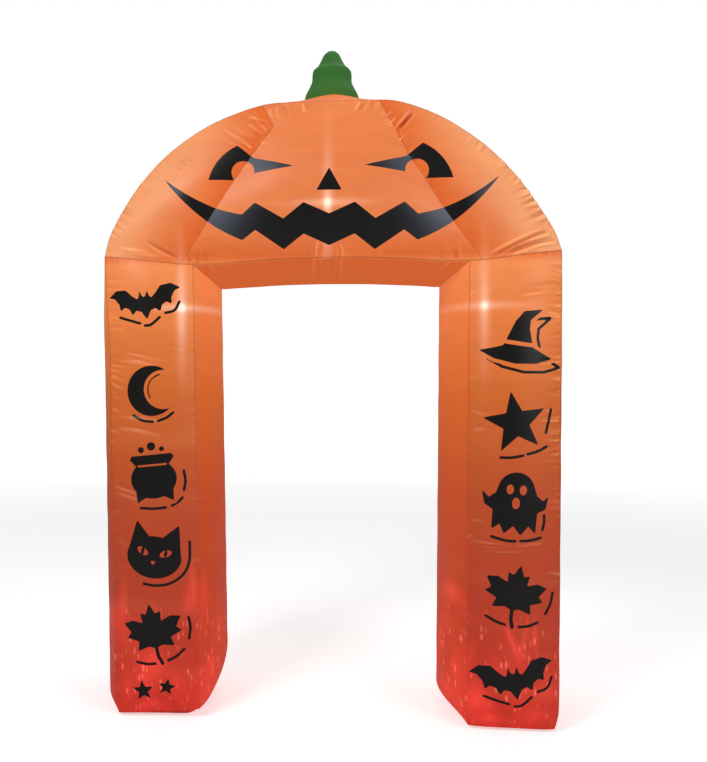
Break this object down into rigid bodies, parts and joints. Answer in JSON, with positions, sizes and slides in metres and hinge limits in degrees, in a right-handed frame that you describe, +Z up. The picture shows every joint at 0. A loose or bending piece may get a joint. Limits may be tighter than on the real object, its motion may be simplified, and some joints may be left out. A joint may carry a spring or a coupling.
{
  "type": "inflatable arch",
  "caption": "Walk-through inflatable arch: two blown-up cloth columns carry a pumpkin-shaped head of three ribs with a stem.",
  "frame": {"origin": "bottom centre of the arch, on the ground it stands on", "axes": "+Z up, -Y is the front with the printed face, X runs across the doorway"},
  "size_m": [1.88, 0.7324, 2.739],
  "materials": {
    "orange_cloth": "thin coated polyester with a soft sheen, lit from inside",
    "green_cloth": "thin coated polyester with a soft sheen"
  },
  "bodies": {
    "root": {"left_column": "orange_cloth", "right_column": "orange_cloth", "head_left": "orange_cloth", "head_middle": "orange_cloth", "head_right": "orange_cloth", "stem": "green_cloth"}
  },
  "joints": []
}
